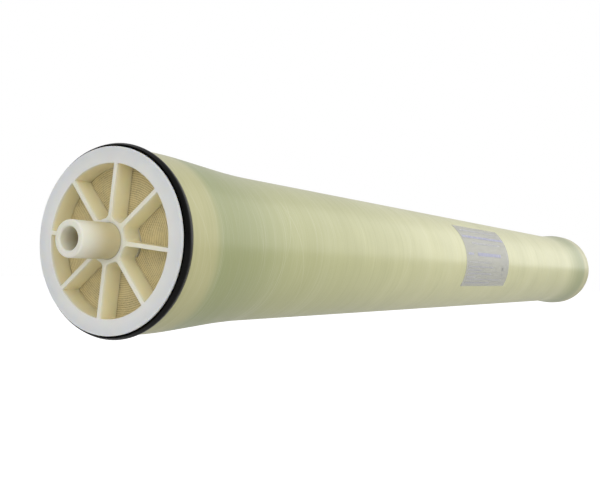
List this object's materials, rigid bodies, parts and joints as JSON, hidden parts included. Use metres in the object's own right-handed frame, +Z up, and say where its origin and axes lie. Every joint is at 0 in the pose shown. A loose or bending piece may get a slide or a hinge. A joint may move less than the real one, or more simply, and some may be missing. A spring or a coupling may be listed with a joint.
{
  "type": "reverse osmosis membrane element",
  "caption": "Long slim spiral-wound reverse osmosis membrane element: tan fiberglass-wound roll, spoked white end caps, black brine seal and a permeate tube standing out at both ends.",
  "frame": {"origin": "half way along the element, on its axis", "axes": "+X along the axis from the feed end, which carries the brine seal, to the brine end; +Z up; +Y completes the right-handed frame"},
  "size_m": [1.016, 0.1024, 0.1024],
  "materials": {
    "tube_plastic": "satin moulded plastic",
    "cap_plastic": "satin moulded plastic",
    "seal_rubber": "matt moulded rubber",
    "wound_fiberglass": "resin-wetted wound glass filament, smooth and slightly translucent",
    "membrane_sheet": "matt cast membrane on a non-woven backing",
    "spacer_net": "open plastic net",
    "core_sheet": "knitted permeate sheet",
    "wrap_tape": "adhesive tape",
    "label_film": "thin translucent film"
  },
  "bodies": {
    "root": {"permeate_tube": "tube_plastic", "core_wrap": "core_sheet", "tape_wrap": "wrap_tape", "fiberglass_shell": "wound_fiberglass", "feed_end_cap": "cap_plastic", "brine_end_cap": "cap_plastic", "brine_seal": "seal_rubber", "label": "label_film", "membrane_leaf_1": "membrane_sheet", "membrane_leaf_2": "membrane_sheet", "membrane_leaf_3": "membrane_sheet", "membrane_leaf_4": "membrane_sheet", "membrane_leaf_5": "membrane_sheet", "feed_spacer_1": "spacer_net", "feed_spacer_2": "spacer_net", "feed_spacer_3": "spacer_net", "feed_spacer_4": "spacer_net", "feed_spacer_5": "spacer_net"}
  },
  "joints": []
}
